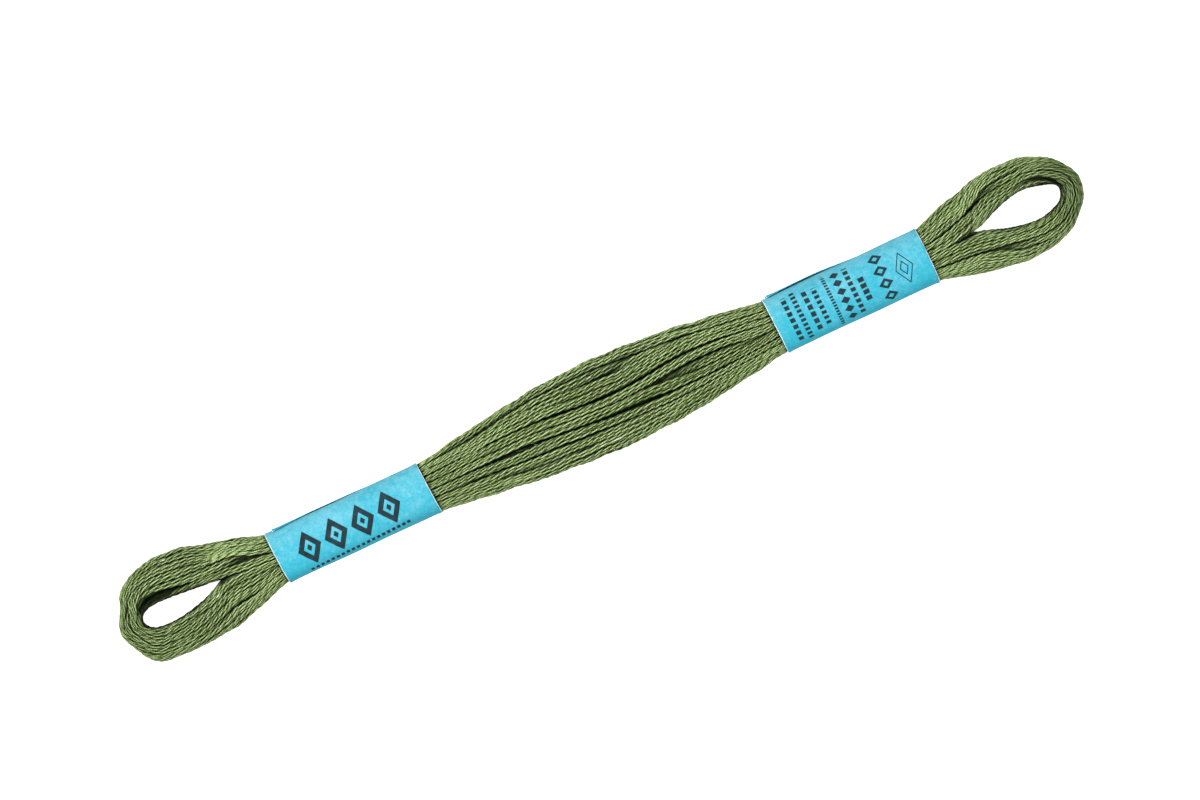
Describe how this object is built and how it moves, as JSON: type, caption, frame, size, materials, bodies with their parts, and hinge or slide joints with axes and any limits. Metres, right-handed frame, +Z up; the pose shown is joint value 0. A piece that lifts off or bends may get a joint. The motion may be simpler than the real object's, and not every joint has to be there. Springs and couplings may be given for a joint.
{
  "type": "skein of embroidery floss",
  "caption": "Long flat skein of wound cotton embroidery floss, open at both looped ends and squeezed by two plain paper bands.",
  "frame": {"origin": "on the surface that the skein rests on, under the middle of its length and width", "axes": "+X along the skein towards the end with the wider eye and the wider band, +Z up"},
  "size_m": [0.17, 0.0164, 0.0079],
  "materials": {
    "floss": "soft cotton with a slight sheen, olive green",
    "band_paper": "matt uncoated paper, light blue"
  },
  "bodies": {
    "root": {"skein": "floss", "band_left": "band_paper", "band_right": "band_paper"}
  },
  "joints": []
}
